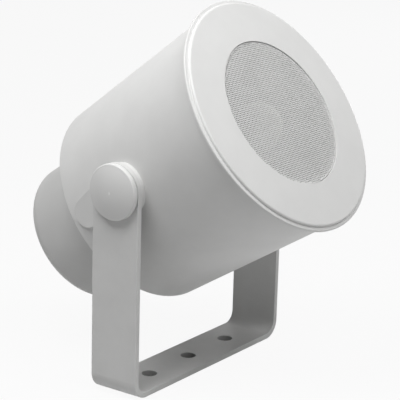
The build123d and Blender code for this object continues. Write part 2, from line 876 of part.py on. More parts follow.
def make_steel_washer(side):
    """Steel washer under the bolt's head."""
    low = arm_outer + running_gap
    return across(steel_washer_radius, low, low + steel_washer_thickness, pivot_bolt_radius + fit_gap, side)


def make_friction_washer(side):
    """Fibre washer between the housing's boss and the bracket's arm."""
    low = boss_face + running_gap
    inner = pivot_bolt_radius + running_gap
    return across(friction_washer_radius, low, arm_inner, inner, side)


def make_pivot_cover(side):
    """Domed cover that snaps on the bolt's head and hides the arm's end."""
    low = arm_outer + cover_lift
    edge = low + cover_edge_height
    top = edge + cover_dome
    head_low = arm_outer + running_gap + steel_washer_thickness
    head_high = head_low + pivot_head_height
    shoulder = cover_radius - cover_edge_round
    outline = Line((0, low), (cover_radius, low))
    outline += Line((cover_radius, low), (cover_radius, edge - cover_edge_round))
    corner = cover_edge_round * (1 - sin(radians(45)))
    outline += ThreePointArc(
        (cover_radius, edge - cover_edge_round), (cover_radius - corner, edge - corner), (shoulder, edge)
    )
    outline += dome_arc(shoulder, edge, cover_dome)
    outline += Line((0, top), (0, low))
    body = revolve(make_face(Plane.XZ * outline), Axis.Z)
    inner_radius = cover_radius - cover_wall
    hollow = disc(inner_radius, low - 1, edge - cover_wall)
    clip_radius = pivot_head_radius + cover_clip_wall
    hollow -= disc(clip_radius, head_low + cover_clip_gap, edge)
    body -= hollow
    body -= disc(pivot_head_radius + fit_gap, low - 1, head_high + 2 * fit_gap)
    return Rot(0, 90 * side, 0) * body


def main():
    os.makedirs("parts", exist_ok=True)
    head = head_frame()
    upright = Location((0, 0, pivot_height))
    here = Location((0, 0, 0))
    nodes = {
        "mounting_bracket": (here, make_bracket()),
        "housing": (head, make_housing()),
        "front_ring": (head, make_front_ring()),
        "grille": (head, make_grille()),
        "driver_gasket": (head, make_driver_gasket()),
        "driver_basket": (head, make_driver_basket()),
        "driver_screws": (head, make_driver_screws()),
        "driver_terminals": (head, make_driver_terminals()),
        "driver_leads": (head, make_driver_leads()),
        "cone_surround": (head, make_surround()),
        "cone": (head, make_cone()),
        "dust_cap": (head, make_dust_cap()),
        "coil_former": (head, make_coil_former()),
        "coil_winding": (head, make_coil_winding()),
        "spider": (head, make_spider()),
        "magnet_top_plate": (head, make_top_plate()),
        "magnet_ring": (head, make_magnet()),
        "magnet_yoke": (head, make_yoke()),
        "rear_cap": (head, make_rear_cap()),
        "rear_cap_seal": (head, make_rear_cap_seal()),
        "rear_cap_screws": (head, make_rear_cap_screws()),
        "cable_grommet": (head, make_cable_grommet()),
        "transformer_core": (head, make_transformer_core()),
        "transformer_bobbin": (head, make_transformer_bobbin()),
        "transformer_winding": (head, make_transformer_winding()),
        "transformer_frame": (head, make_transformer_frame()),
        "transformer_screws": (head, make_transformer_screws()),
        "terminal_block": (head, make_terminal_block()),
        "terminal_screws": (head, make_terminal_screws()),
    }
    for side, name in ((-1, "left"), (1, "right")):
        nodes[f"pivot_insert_{name}"] = (upright, make_pivot_insert(side))
        nodes[f"pivot_bolt_{name}"] = (upright, make_pivot_bolt(side))
        nodes[f"pivot_washer_{name}"] = (upright, make_steel_washer(side))
        nodes[f"friction_washer_{name}"] = (upright, make_friction_washer(side))
        nodes[f"pivot_cover_{name}"] = (upright, make_pivot_cover(side))

    for name, (place, shape) in nodes.items():
        solids = shape if isinstance(shape, list) else [shape]
        flat = [place * solid for body in solids for solid in body.solids()]
        export_step(flat[0] if len(flat) == 1 else Compound(flat), f"parts/{name}.step")


main()
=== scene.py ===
import json
from math import atan2, ceil, cos, pi, radians, sin, sqrt

import bmesh
import bpy
from mathutils import Matrix, Vector


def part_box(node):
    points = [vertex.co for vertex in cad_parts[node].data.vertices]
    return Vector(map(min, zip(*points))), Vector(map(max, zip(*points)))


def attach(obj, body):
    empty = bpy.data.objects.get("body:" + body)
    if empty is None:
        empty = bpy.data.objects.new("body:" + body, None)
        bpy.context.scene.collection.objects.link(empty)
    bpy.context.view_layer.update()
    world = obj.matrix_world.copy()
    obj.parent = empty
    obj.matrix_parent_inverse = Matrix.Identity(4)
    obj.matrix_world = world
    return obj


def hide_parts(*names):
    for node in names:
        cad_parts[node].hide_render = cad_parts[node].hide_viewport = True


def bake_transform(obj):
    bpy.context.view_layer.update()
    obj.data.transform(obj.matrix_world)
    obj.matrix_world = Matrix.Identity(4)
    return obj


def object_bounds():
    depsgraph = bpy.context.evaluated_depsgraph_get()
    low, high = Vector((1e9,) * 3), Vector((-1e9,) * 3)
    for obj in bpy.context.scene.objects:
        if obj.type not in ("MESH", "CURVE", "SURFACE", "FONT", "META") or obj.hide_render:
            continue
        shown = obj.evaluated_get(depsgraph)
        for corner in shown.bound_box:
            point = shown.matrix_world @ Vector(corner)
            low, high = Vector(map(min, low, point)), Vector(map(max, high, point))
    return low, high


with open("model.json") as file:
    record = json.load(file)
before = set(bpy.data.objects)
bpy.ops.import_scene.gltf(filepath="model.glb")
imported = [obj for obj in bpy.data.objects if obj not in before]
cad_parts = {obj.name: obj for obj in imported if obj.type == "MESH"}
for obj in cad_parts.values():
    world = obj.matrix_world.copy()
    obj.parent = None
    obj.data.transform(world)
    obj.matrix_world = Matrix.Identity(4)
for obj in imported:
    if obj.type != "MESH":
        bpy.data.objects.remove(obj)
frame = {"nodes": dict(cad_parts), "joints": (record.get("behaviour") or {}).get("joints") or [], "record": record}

# A sound projector loudspeaker in light grey: moulded housing, perforated steel grille and a
# powder coated U-bracket. Metres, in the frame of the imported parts.
MM = 0.001
cad_low, cad_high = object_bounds()

# The head's own frame: pivot at its origin, X across, Y towards its top, Z forward
joints = {joint["name"]: joint for joint in frame["joints"]}
pivot = Vector(joints["head_tilt"]["pos_m"])
forward = Vector(joints["cone_travel"]["axis"]).normalized()
across = Vector((1, 0, 0))
head = Matrix((across, forward.cross(across), forward)).transposed().to_4x4()
head.translation = pivot


def head_box(node):
    """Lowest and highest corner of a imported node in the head's own frame."""
    back = head.inverted()
    points = [back @ vertex.co for vertex in frame["nodes"][node].data.vertices]
    low = Vector([min(point[i] for point in points) for i in range(3)])
    high = Vector([max(point[i] for point in points) for i in range(3)])
    return low, high


# Camera
CAMERA_PLACE = Vector((-786.465, -565.163, 372.567)) * MM
CAMERA_TARGET = Vector((3.903, -3.065, 105.092)) * MM
CAMERA_ROLL = radians(1.5791)
CAMERA_LENS = 146.78
CAMERA_NEAR = 10 * MM
CAMERA_FAR = 20.0


def make_camera():
    """The photograph's view: from the front left, a little above."""
    data = bpy.data.cameras.new("camera")
    data.lens = CAMERA_LENS
    data.clip_start = CAMERA_NEAR
    data.clip_end = CAMERA_FAR
    camera = bpy.data.objects.new("camera", data)
    bpy.context.scene.collection.objects.link(camera)
    turn = (CAMERA_TARGET - CAMERA_PLACE).to_track_quat("-Z", "Y").to_matrix().to_4x4()
    roll = Matrix.Rotation(CAMERA_ROLL, 4, "Z")
    camera.matrix_world = Matrix.Translation(CAMERA_PLACE) @ turn @ roll
    bpy.context.scene.camera = camera


# Materials
NOISE = "ShaderNodeTexNoise"
WAVE = "ShaderNodeTexWave"
CELLS = "ShaderNodeTexVoronoi"
PATTERN_LOW = 0.3  # most of a pattern's 0 to 1 values lie between these two
PATTERN_HIGH = 0.7
WAVE_RADIANS = 20  # a wave texture's radians a unit


def linear(colour):
    """Linear RGBA of an sRGB hex colour."""
    shares = [int(colour[i:i + 2], 16) / 255 for i in (1, 3, 5)]
    return [c / 12.92 if c <= 0.04045 else ((c + 0.055) / 1.055) ** 2.4 for c in shares] + [1.0]


def add(tree, kind, inputs=None, output=0, **settings):
    """Adds a node with its settings, sets or links its inputs, and returns one of its outputs."""
    node = tree.nodes.new(kind)
    for name, value in settings.items():
        setattr(node, name, value)
    for name, value in (inputs or {}).items():
        if isinstance(value, bpy.types.NodeSocket):
            tree.links.new(value, node.inputs[name])
        else:
            node.inputs[name].default_value = value
    return node.outputs[output]


def start_material(name, **inputs):
    """A material whose shader's sockets are set, with its tree, its shader and the object place."""
    material = bpy.data.materials.new(name)
    material.use_nodes = True
    tree = material.node_tree
    shader = tree.nodes["Principled BSDF"]
    for socket, value in inputs.items():
        shader.inputs[socket.replace("_", " ")].default_value = value
    place = add(tree, "ShaderNodeTexCoord", output="Object")
    return material, tree, shader, place


def head_place(tree, place):
    """Object place turned into the head's own frame."""
    inputs = {"Vector": place, "Location": pivot, "Rotation": head.to_euler()}
    return add(tree, "ShaderNodeMapping", inputs, vector_type="TEXTURE")


def spots(size):
    """Scale of a noise or of cells whose spots are a size in millimetres across."""
    return 1 / (size * MM)


def crests(pitch):
    """Scale of a wave whose crests are a pitch in millimetres apart."""
    return 2 * pi / (WAVE_RADIANS * pitch * MM)


def tint(tree, shader, pattern, first, second):
    """Colours the shader between two hex colours by a pattern."""
    colour = add(tree, "ShaderNodeValToRGB", {"Fac": pattern})
    ends = colour.node.color_ramp.elements
    ends[0].position = PATTERN_LOW
    ends[1].position = PATTERN_HIGH
    ends[0].color = linear(first)
    ends[1].color = linear(second)
    tree.links.new(colour, shader.inputs["Base Color"])


def rough(tree, shader, pattern, low, high):
    """Varies the shader's roughness between two values by a pattern."""
    inputs = {"From Min": PATTERN_LOW, "From Max": PATTERN_HIGH, "To Min": low, "To Max": high}
    roughness = add(tree, "ShaderNodeMapRange", {"Value": pattern, **inputs})
    tree.links.new(roughness, shader.inputs["Roughness"])


def relief(tree, shader, heights):
    """Bumps the shader by a list of (pattern, height in millimetres), coarsest first."""
    inputs = {}
    for pattern, height in heights:
        inputs |= {"Height": pattern, "Distance": height * MM}
        inputs["Normal"] = add(tree, "ShaderNodeBump", inputs)
    tree.links.new(inputs["Normal"], shader.inputs["Normal"])


def asa_moulding(name, first, second, gloss):
    """Light grey ASA from a spark-eroded mould: an even satin with a fine grain. The real grain
    is about 0.15 mm, so a 0.5 mm one stands for it, with slow waves where the wall has sunk."""
    material, tree, shader, place = start_material(name, IOR=1.52)
    shade = add(tree, NOISE, {"Vector": place, "Scale": spots(22.0), "Detail": 3.0})
    gleam = add(tree, NOISE, {"Vector": place, "Scale": spots(9.0)})
    sinks = add(tree, NOISE, {"Vector": place, "Scale": spots(30.0), "Detail": 0.0})
    grain = add(tree, NOISE, {"Vector": place, "Scale": spots(0.5)})
    tint(tree, shader, shade, first, second)
    rough(tree, shader, gleam, gloss, gloss + 0.07)
    relief(tree, shader, [(sinks, 0.12), (grain, 0.012)])
    return material


def powder_coat(name, first, second, peel):
    """Polyester powder coat stoved on steel: satin, with the orange peel that the powder leaves
    as it flows, about 1.5 mm across, and fine specks."""
    material, tree, shader, place = start_material(name, IOR=1.5)
    shade = add(tree, NOISE, {"Vector": place, "Scale": spots(14.0), "Detail": 3.0})
    gleam = add(tree, NOISE, {"Vector": place, "Scale": spots(4.0)})
    flow = add(tree, NOISE, {"Vector": place, "Scale": spots(1.5), "Detail": 1.0})
    specks = add(tree, NOISE, {"Vector": place, "Scale": spots(0.4)})
    tint(tree, shader, shade, first, second)
    rough(tree, shader, gleam, 0.42, 0.5)
    relief(tree, shader, [(flow, peel), (specks, 0.006)])
    return material


def zinc_plate(name, first, second):
    """Bright zinc plate on steel: a pale metal, clouded in patches, with a fine crystal grain."""
    material, tree, shader, place = start_material(name, Metallic=1.0)
    clouds = add(tree, NOISE, {"Vector": place, "Scale": spots(5.0), "Detail": 4.0})
    gleam = add(tree, NOISE, {"Vector": place, "Scale": spots(1.2), "Detail": 4.0})
    grain = add(tree, NOISE, {"Vector": place, "Scale": spots(0.35)})
    tint(tree, shader, clouds, first, second)
    rough(tree, shader, gleam, 0.24, 0.4)
    relief(tree, shader, [(grain, 0.006)])
    return material


def turned_brass(name):
    """Brass bar turned on a lathe: yellow metal with fine rings about the bolt's axis, as far
    apart as the tool's feed."""
    material, tree, shader, place = start_material(name, Metallic=1.0)
    shade = add(tree, NOISE, {"Vector": place, "Scale": spots(3.0)})
    gleam = add(tree, NOISE, {"Vector": place, "Scale": spots(1.5)})
    inputs = {"Vector": place, "Scale": crests(0.377), "Distortion": 0.4}
    rings = add(tree, WAVE, inputs, "Fac", bands_direction="X")
    tint(tree, shader, shade, "#C09A4E", "#CFAA5C")
    rough(tree, shader, gleam, 0.22, 0.34)
    relief(tree, shader, [(rings, 0.01)])
    return material


def stoved_enamel(name):
    """Black stoving enamel on pressed steel: semi-gloss, with a slight flow and dust specks."""
    material, tree, shader, place = start_material(name, IOR=1.5, Coat_Weight=0.2)
    shade = add(tree, NOISE, {"Vector": place, "Scale": spots(6.0), "Detail": 3.0})
    gleam = add(tree, NOISE, {"Vector": place, "Scale": spots(2.0)})
    specks = add(tree, NOISE, {"Vector": place, "Scale": spots(1.0), "Detail": 1.0})
    tint(tree, shader, shade, "#121213", "#1C1C1E")
    rough(tree, shader, gleam, 0.3, 0.45)
    relief(tree, shader, [(specks, 0.02)])
    return material


def sintered_ferrite(name):
    """Sintered ferrite: a dense dark grey ceramic, dull, with pores and grinding dust."""
    material, tree, shader, place = start_material(name, IOR=1.9)
    dust = add(tree, NOISE, {"Vector": place, "Scale": spots(1.5), "Detail": 5.0})
    gleam = add(tree, NOISE, {"Vector": place, "Scale": spots(3.0)})
    pores = add(tree, CELLS, {"Vector": place, "Scale": spots(0.9)})
    tint(tree, shader, dust, "#2A2A2D", "#3C3C40")
    rough(tree, shader, gleam, 0.6, 0.78)
    relief(tree, shader, [(pores, 0.02)])
    return material


def paper_pulp(name, first, second):
    """Pressed paper pulp: a dry felt of fibres about 1 mm long, with rings pressed about 1 mm
    apart round the cone's axis."""
    material, tree, shader, place = start_material(name, IOR=1.45, Sheen_Weight=0.15)
    inputs = {"Vector": head_place(tree, place), "Scale": crests(1.005)}
    rings = add(tree, WAVE, inputs, "Fac", wave_type="RINGS", rings_direction="Z")
    fibres = add(tree, NOISE, {"Vector": place, "Scale": spots(0.8), "Detail": 5.0})
    gleam = add(tree, NOISE, {"Vector": place, "Scale": spots(3.0)})
    tint(tree, shader, fibres, first, second)
    rough(tree, shader, gleam, 0.8, 0.92)
    relief(tree, shader, [(rings, 0.1), (fibres, 0.06)])
    return material


def moulded_rubber(name, first, second):
    """Moulded rubber: matt and nearly black, with a bloom in soft patches."""
    material, tree, shader, place = start_material(name, IOR=1.52)
    bloom = add(tree, NOISE, {"Vector": place, "Scale": spots(5.0), "Detail": 4.0})
    gleam = add(tree, NOISE, {"Vector": place, "Scale": spots(2.5)})
    grain = add(tree, NOISE, {"Vector": place, "Scale": spots(0.6)})
    tint(tree, shader, bloom, first, second)
    rough(tree, shader, gleam, 0.62, 0.78)
    relief(tree, shader, [(grain, 0.02)])
    return material


def spider_cloth(name):
    """Cotton dipped in phenolic resin: an open plain weave, threads 0.7 mm apart, in tan."""
    material, tree, shader, place = start_material(name, IOR=1.5)
    inputs = {"Vector": head_place(tree, place), "Scale": crests(0.7)}
    warp = add(tree, WAVE, inputs, "Fac", bands_direction="X")
    weft = add(tree, WAVE, inputs, "Fac", bands_direction="Y")
    weave = add(tree, "ShaderNodeMath", {0: warp, 1: weft}, operation="MAXIMUM")
    gleam = add(tree, NOISE, {"Vector": place, "Scale": spots(2.0)})
    tint(tree, shader, weave, "#7A5722", "#B98A45")
    rough(tree, shader, gleam, 0.55, 0.7)
    relief(tree, shader, [(weave, 0.15)])
    return material


def aluminium_foil(name):
    """Rolled aluminium foil: bright, with a faint unevenness from the rolls."""
    material, tree, shader, place = start_material(name, Metallic=1.0)
    shade = add(tree, NOISE, {"Vector": place, "Scale": spots(4.0)})
    gleam = add(tree, NOISE, {"Vector": place, "Scale": spots(1.0), "Detail": 4.0})
    dents = add(tree, NOISE, {"Vector": place, "Scale": spots(0.5), "Detail": 4.0})
    tint(tree, shader, shade, "#C4C5C8", "#D6D7DA")
    rough(tree, shader, gleam, 0.2, 0.34)
    relief(tree, shader, [(dents, 0.01)])
    return material


def copper_wire(name):
    """Enamelled copper wire laid side by side, 0.4 mm a turn: a warm metal under clear varnish."""
    material, tree, shader, place = start_material(name, Metallic=1.0, Coat_Weight=0.6)
    inputs = {"Vector": head_place(tree, place), "Scale": crests(0.4)}
    turns = add(tree, WAVE, inputs, "Fac", bands_direction="Z")
    gleam = add(tree, NOISE, {"Vector": place, "Scale": spots(1.0)})
    # Painted shade and highlight: the colour darkens between the turns and lightens on their crests
    tint(tree, shader, turns, "#7C3A1C", "#C9764A")
    rough(tree, shader, gleam, 0.25, 0.35)
    relief(tree, shader, [(turns, 0.12)])
    return material


def closed_foam(name):
    """Closed cell foam: a soft dark grey skin with cells about 0.6 mm across."""
    material, tree, shader, place = start_material(name, IOR=1.4, Sheen_Weight=0.2)
    cells = add(tree, CELLS, {"Vector": place, "Scale": spots(0.6)})
    gleam = add(tree, NOISE, {"Vector": place, "Scale": spots(2.0)})
    tint(tree, shader, cells, "#1B1B1C", "#303032")
    rough(tree, shader, gleam, 0.85, 0.95)
    relief(tree, shader, [(cells, 0.12)])
    return material


def pressed_fibre(name):
    """Vulcanised fibre: hard grey-brown board, dull, with a faint felt of fibres."""
    material, tree, shader, place = start_material(name, IOR=1.5)
    fibres = add(tree, NOISE, {"Vector": place, "Scale": spots(0.7), "Detail": 5.0})
    gleam = add(tree, NOISE, {"Vector": place, "Scale": spots(2.0)})
    tint(tree, shader, fibres, "#3C3733", "#504A44")
    rough(tree, shader, gleam, 0.6, 0.75)
    relief(tree, shader, [(fibres, 0.03)])
    return material


def steel_laminations(name):
    """Stacked transformer sheets, varnished: edges 0.5 mm apart along the stack, drawn at 1 mm
    so that they show."""
    material, tree, shader, place = start_material(name, Metallic=0.8, Coat_Weight=0.3)
    inputs = {"Vector": head_place(tree, place), "Scale": crests(1.0)}
    sheets = add(tree, WAVE, inputs, "Fac", bands_direction="Z")
    gleam = add(tree, NOISE, {"Vector": place, "Scale": spots(1.5)})
    tint(tree, shader, sheets, "#3A3A3C", "#6A6A6D")
    rough(tree, shader, gleam, 0.4, 0.55)
    relief(tree, shader, [(sheets, 0.15)])
    return material


def moulded_nylon(name, first, second):
    """Natural nylon: an ivory moulding that lets a little light in, with a soft gloss."""
    material, tree, shader, place = start_material(
        name, IOR=1.53, Subsurface_Weight=0.15, Subsurface_Scale=1.0 * MM)
    shade = add(tree, NOISE, {"Vector": place, "Scale": spots(6.0), "Detail": 3.0})
    gleam = add(tree, NOISE, {"Vector": place, "Scale": spots(2.0)})
    grain = add(tree, NOISE, {"Vector": place, "Scale": spots(0.6)})
    tint(tree, shader, shade, first, second)
    rough(tree, shader, gleam, 0.4, 0.5)
    relief(tree, shader, [(grain, 0.01)])
    return material


def polyester_tape(name):
    """Yellow polyester tape wound over the wire: glossy film with the turns' ridges below it."""
    material, tree, shader, place = start_material(name, IOR=1.6, Coat_Weight=0.5)
    shade = add(tree, NOISE, {"Vector": place, "Scale": spots(4.0), "Detail": 4.0})
    gleam = add(tree, NOISE, {"Vector": place, "Scale": spots(2.0)})
    inputs = {"Vector": place, "Scale": crests(0.9), "Distortion": 0.6}
    turns = add(tree, WAVE, inputs, "Fac", bands_direction="Y")
    tint(tree, shader, shade, "#C4A030", "#D8B648")
    rough(tree, shader, gleam, 0.2, 0.3)
    relief(tree, shader, [(turns, 0.06)])
    return material


def phenolic_board(name):
    """Phenolic paper board: brown and hard, with a fine fibre figure."""
    material, tree, shader, place = start_material(name, IOR=1.55)
    fibres = add(tree, NOISE, {"Vector": place, "Scale": spots(0.6), "Detail": 5.0})
    gleam = add(tree, NOISE, {"Vector": place, "Scale": spots(2.0)})
    tint(tree, shader, fibres, "#6B3E1C", "#8A5328")
    rough(tree, shader, gleam, 0.4, 0.55)
    relief(tree, shader, [(fibres, 0.02)])
    return material


def pvc_insulation(name):
    """Extruded PVC: a smooth dark red skin with slight waves along the wire."""
    material, tree, shader, place = start_material(name, IOR=1.54)
    shade = add(tree, NOISE, {"Vector": place, "Scale": spots(3.0), "Detail": 3.0})
    gleam = add(tree, NOISE, {"Vector": place, "Scale": spots(2.0)})
    waves = add(tree, NOISE, {"Vector": place, "Scale": spots(1.2)})
    tint(tree, shader, shade, "#7A1512", "#8F1D18")
    rough(tree, shader, gleam, 0.34, 0.46)
    relief(tree, shader, [(waves, 0.02)])
    return material


materials = {
    "housing_plastic": asa_moulding("moulded_asa_housing", "#DADAD9", "#DFDFDE", 0.44),
    "ring_plastic": asa_moulding("moulded_asa_front_ring", "#D8D8D7", "#DCDCDB", 0.46),
    "cover_plastic": asa_moulding("moulded_asa_cover", "#DADAD9", "#DEDEDD", 0.4),
    "bracket_paint": powder_coat("powder_coated_bracket_steel", "#D4D4D3", "#D9D9D8", 0.03),
    "grille_paint": powder_coat("powder_coated_perforated_steel", "#D2D2D1", "#D7D7D6", 0.012),
    "zinc_steel": zinc_plate("zinc_plated_steel", "#B4B5B4", "#C6C7C6"),
    "brass": turned_brass("turned_brass"),
    "driver_paint": stoved_enamel("black_stoving_enamel"),
    "magnet_steel": zinc_plate("zinc_plated_magnet_steel", "#A5A6A4", "#B9BAB8"),
    "ferrite": sintered_ferrite("sintered_ferrite"),
    "cone_paper": paper_pulp("pressed_paper_pulp", "#3B3B38", "#4A4A46"),
    "surround_rubber": moulded_rubber("moulded_rubber_surround", "#19191A", "#242425"),
    "spider_cloth": spider_cloth("resin_dipped_cotton"),
    "coil_former_metal": aluminium_foil("aluminium_foil"),
    "copper_wire": copper_wire("enamelled_copper_wire"),
    "foam": closed_foam("closed_cell_foam"),
    "seal_rubber": moulded_rubber("moulded_rubber_seal", "#1B1B1C", "#262627"),
    "fibre": pressed_fibre("vulcanised_fibre"),
    "lamination": steel_laminations("varnished_steel_laminations"),
    "bobbin_plastic": moulded_nylon("moulded_nylon_bobbin", "#DDD6C2", "#E6E0CE"),
    "winding_tape": polyester_tape("polyester_winding_tape"),
    "terminal_plastic": moulded_nylon("moulded_nylon_terminal", "#DCDAD2", "#E4E2DA"),
    "tag_board": phenolic_board("phenolic_paper_board"),
    "lead_pvc": pvc_insulation("pvc_lead_insulation"),
}
slot_of = {part["node"]: part["material_slot"] for part in frame["record"]["subparts"]}


def dress(piece, slot):
    """Gives a piece the material of a slot."""
    piece.data.materials.clear()
    piece.data.materials.append(materials[slot])


for node, piece in frame["nodes"].items():
    dress(piece, slot_of[node])

# The rear cap is the housing's moulding a shade darker: painted shade for the lower light on it
rear_cap_painted_shade_asa = asa_moulding("moulded_asa_rear_cap_painted_shade", "#C8C8C7", "#CDCDCC", 0.46)
frame["nodes"]["rear_cap"].data.materials[0] = rear_cap_painted_shade_asa


# New pieces
SHARP_ANGLE = radians(35)
WELD = 0.001 * MM  # vertices nearer than this are one


def vertices(geom):
    """The vertices in a list of bmesh elements."""
    return [item for item in geom if isinstance(item, bmesh.types.BMVert)]


def circle_edges(mesh, segments, radius):
    """Adds a circle and returns its edges."""
    made = bmesh.ops.create_circle(mesh, segments=segments, radius=radius)
    return list({edge for vertex in made["verts"] for edge in vertex.link_edges})


def closed_outline(mesh, points):
    """Adds a closed outline through some points, and returns its vertices and edges."""
    verts = [mesh.verts.new(point) for point in points]
    return verts + [mesh.edges.new((verts[k - 1], verts[k])) for k in range(len(verts))]


def mesh_object(name, mesh):
    """Makes an object at the origin from a bmesh."""
    data = bpy.data.meshes.new(name)
    mesh.to_mesh(data)
    mesh.free()
    piece = bpy.data.objects.new(name, data)
    bpy.context.scene.collection.objects.link(piece)
    return piece


def finish_piece(name, mesh, node, body):
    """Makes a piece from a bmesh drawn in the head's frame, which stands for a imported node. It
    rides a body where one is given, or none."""
    bmesh.ops.transform(mesh, matrix=head, verts=mesh.verts)
    piece = mesh_object(name, mesh)
    piece.data.set_sharp_from_angle(angle=SHARP_ANGLE)
    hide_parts(node)
    dress(piece, slot_of[node])
    if body:
        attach(piece, body)
    return piece


# Grille: round holes on a triangular lattice, almost to the sheet's edge
HOLE_PITCH = 1.37 * MM
HOLE_RADIUS = 0.44 * MM
HOLE_SIDES = 12
HOLE_EDGE_LIMIT = 0.75 * HOLE_RADIUS  # a hole's edges are shorter, and a hexagon's are longer
SHEET_THICKNESS = 0.3 * MM
SHEET_SIDES = 256
PLAIN_RIM = 0.15 * MM


def repeat_cell(mesh, cell, pitch, reach):
    """Repeats a cell over a triangular lattice inside a circle, one column of copies at a time."""
    spare = vertices(cell)
    stack = []
    for row in range(2 * int(reach / pitch) + 2):
        copy = bmesh.ops.duplicate(mesh, geom=cell)["geom"]
        bmesh.ops.translate(mesh, verts=vertices(copy), vec=(0, row * pitch, 0))
        spare += vertices(copy)
        stack.append(copy)
    step = pitch * sqrt(3) / 2
    columns = int(reach / step)
    for column in range(-columns, columns + 1):
        half = sqrt(reach ** 2 - (column * step) ** 2)
        offset = pitch / 2 if column % 2 else 0.0
        first = ceil((-half - offset) / pitch)
        count = ceil((half - offset) / pitch) - first
        geom = [item for copy in stack[:count] for item in copy]
        copy = bmesh.ops.duplicate(mesh, geom=geom)["geom"]
        place = (column * step, first * pitch + offset, 0)
        bmesh.ops.translate(mesh, verts=vertices(copy), vec=place)
    bmesh.ops.delete(mesh, geom=spare, context="VERTS")
    bmesh.ops.remove_doubles(mesh, verts=mesh.verts, dist=WELD)


def hexagon_reach(angle, pitch):
    """Distance from a lattice place to its hexagon's edge, whose flats face its neighbours."""
    turn = (angle - pi / 2 + pi / 6) % (pi / 3) - pi / 6
    return pitch / 2 / cos(turn)


def make_grille():
    """Perforated sheet: one hexagon with a hole, repeated, then the plain rim and the walls of the
    holes. Its close-packed rows run across the head."""
    high = head_box("grille")[1]
    rim_radius = high.x
    mesh = bmesh.new()
    hole = circle_edges(mesh, HOLE_SIDES, HOLE_RADIUS)
    made = bmesh.ops.extrude_edge_only(mesh, edges=hole)
    for vertex in vertices(made["geom"]):
        angle = atan2(vertex.co.y, vertex.co.x)
        vertex.co = vertex.co.normalized() * hexagon_reach(angle, HOLE_PITCH)
    cell = mesh.verts[:] + mesh.edges[:] + mesh.faces[:]
    repeat_cell(mesh, cell, HOLE_PITCH, rim_radius - PLAIN_RIM - HOLE_RADIUS)

    # The plain rim fills from the lattice's outer edges to the sheet's edge
    border = [edge for edge in mesh.edges if edge.is_boundary]
    outer = [edge for edge in border if edge.calc_length() > HOLE_EDGE_LIMIT]
    rim = circle_edges(mesh, SHEET_SIDES, rim_radius)
    bmesh.ops.triangle_fill(mesh, use_beauty=True, edges=outer + rim, normal=(0, 0, 1))
    bmesh.ops.recalc_face_normals(mesh, faces=mesh.faces)
    if sum(face.normal.z for face in mesh.faces) < 0:
        bmesh.ops.reverse_faces(mesh, faces=mesh.faces)

    # The walls of the holes and of the sheet's edge
    border = [edge for edge in mesh.edges if edge.is_boundary]
    made = bmesh.ops.extrude_edge_only(mesh, edges=border)
    bmesh.ops.translate(mesh, verts=vertices(made["geom"]), vec=(0, 0, -SHEET_THICKNESS))
    turn = Matrix.Rotation(pi / 2, 3, "Z")
    bmesh.ops.rotate(mesh, verts=mesh.verts, cent=(0, 0, 0), matrix=turn)
    bmesh.ops.translate(mesh, verts=mesh.verts, vec=(0, 0, high.z))
    finish_piece("grille_sheet", mesh, "grille", "head")


# Dust cap: a tall rounded paper cap on the cone, whose crown shows through the holes
DUST_CAP_RISE = 18.0 * MM
DUST_CAP_PAPER = 0.6 * MM
DUST_CAP_STEPS = 24
DUST_CAP_SIDES = 96


def make_dust_cap():
    """Spun shell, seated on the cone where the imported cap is."""
    low, high = head_box("dust_cap")
    upwards = range(DUST_CAP_STEPS + 1)
    points = []
    for skin, steps in ((0.0, upwards), (DUST_CAP_PAPER, reversed(upwards))):
        for k in steps:
            turn = pi / 2 * k / DUST_CAP_STEPS
            radius = (high.x - skin) * cos(turn)
            points.append((radius, 0, low.z + (DUST_CAP_RISE - skin) * sin(turn)))
    mesh = bmesh.new()
    geom = closed_outline(mesh, points)
    bmesh.ops.spin(mesh, geom=geom, axis=(0, 0, 1), angle=2 * pi, steps=DUST_CAP_SIDES)
    bmesh.ops.remove_doubles(mesh, verts=mesh.verts, dist=WELD)
    bmesh.ops.recalc_face_normals(mesh, faces=mesh.faces)
    piece = finish_piece("dust_cap_dome", mesh, "dust_cap", "moving_coil")
    piece.data.materials[0] = paper_pulp("pale_paper_dust_cap", "#C8C8C2", "#D6D6D0")


# Soft pieces spun in sectors, each a piece of its own
SECTOR_COUNT = 12
SECTOR_STEPS = 8
WAVE_STEPS = 12
SURROUND_OUTER = 41.8 * MM
SURROUND_INNER = 35.2 * MM
SURROUND_SKIN = 0.6 * MM
LAND_WIDTH = 1.88 * MM
SPIDER_CLAMP = 26.0 * MM
SPIDER_COLLAR = 14.3 * MM
SPIDER_WAVES = 4
SPIDER_WAVE_HEIGHT = 0.9 * MM
SPIDER_SKIN = 0.5 * MM
COIL_BORE = 12.8 * MM


def make_sectors(name, node, profile):
    """Spins a closed (radius, height) profile in sectors, each a piece of its own on no body."""
    turn = 2 * pi / SECTOR_COUNT
    for i in range(SECTOR_COUNT):
        side = Matrix.Rotation(turn * i, 4, "Z")
        mesh = bmesh.new()
        points = [side @ Vector((radius, 0, height)) for radius, height in profile]
        geom = closed_outline(mesh, points)
        bmesh.ops.spin(mesh, geom=geom, axis=(0, 0, 1), angle=turn, steps=SECTOR_STEPS)
        ends = [edge for edge in mesh.edges if edge.is_boundary]
        bmesh.ops.holes_fill(mesh, edges=ends, sides=0)
        bmesh.ops.recalc_face_normals(mesh, faces=mesh.faces)
        piece = finish_piece(f"{name}_{i + 1:02d}", mesh, node, None)
        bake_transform(piece)


